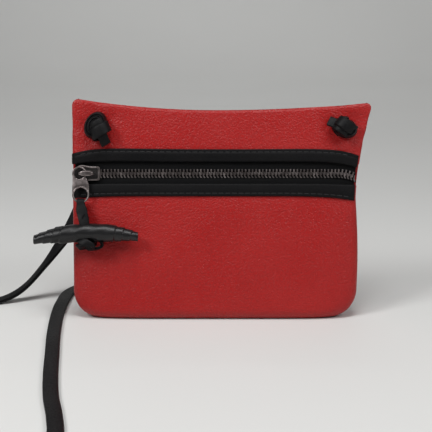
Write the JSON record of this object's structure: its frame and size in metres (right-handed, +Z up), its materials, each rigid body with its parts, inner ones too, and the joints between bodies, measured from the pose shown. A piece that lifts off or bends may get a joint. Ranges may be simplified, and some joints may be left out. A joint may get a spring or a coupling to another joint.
{
  "type": "crossbody zip pouch",
  "caption": "Small pebbled-leather crossbody pouch with a metal zip, rolled-leather toggle pull and a knotted strap that passes through its top corners.",
  "frame": {"origin": "on the flat underside of the pouch's base, in the middle of its width, just in front of the seam under the base", "axes": "+X along the zip, towards its far end; +Y from the front of the pouch to its back; +Z up"},
  "size_m": [0.3451, 0.3594, 0.1536],
  "materials": {
    "red_leather": "pebbled, semi-matt",
    "black_leather": "smooth, semi-matt",
    "gunmetal": "dark plated, satin",
    "zip_tape": "woven, matt"
  },
  "bodies": {
    "pouch": {"front_lower_panel": "red_leather", "front_upper_panel": "red_leather", "back_panel": "red_leather", "upper_facing": "black_leather", "lower_facing": "black_leather", "zip_tape_upper": "zip_tape", "zip_tape_lower": "zip_tape", "teeth_upper": "gunmetal", "teeth_lower": "gunmetal", "strap_knot_left": "black_leather", "strap_knot_right": "black_leather", "strap_tail_left": "black_leather", "strap_tail_right": "black_leather", "strap": "black_leather"},
    "slider": {"slider_body": "gunmetal", "slider_bridge": "gunmetal"},
    "pull": {"pull_tab": "gunmetal"},
    "lace": {"pull_lace": "black_leather"},
    "toggle": {"rolled_toggle": "black_leather", "toggle_lace": "black_leather", "lace_knot": "black_leather"}
  },
  "joints": [
    {"name": "slider_slide", "type": "slide", "parent": "pouch", "child": "slider", "axis": [1, 0, 0], "range_m": [0, 0.166], "deforming": ["teeth_upper", "teeth_lower", "zip_tape_upper", "zip_tape_lower"]},
    {"name": "pull_turn", "type": "hinge", "parent": "slider", "child": "pull", "pos_m": [-0.09555, 0.0008, 0.10191], "axis": [0, -0.9781, 0.2079], "range_deg": [-90, 30]},
    {"name": "lace_swing", "type": "hinge", "parent": "pull", "child": "lace", "pos_m": [-0.0944, -0.00512, 0.08252], "axis": [-1, 0, 0], "range_deg": [0, 110]},
    {"name": "toggle_tilt", "type": "hinge", "parent": "lace", "child": "toggle", "pos_m": [-0.0904, -0.01186, 0.06928], "axis": [0, -0.9781, 0.2079], "range_deg": [-20, 20]}
  ]
}
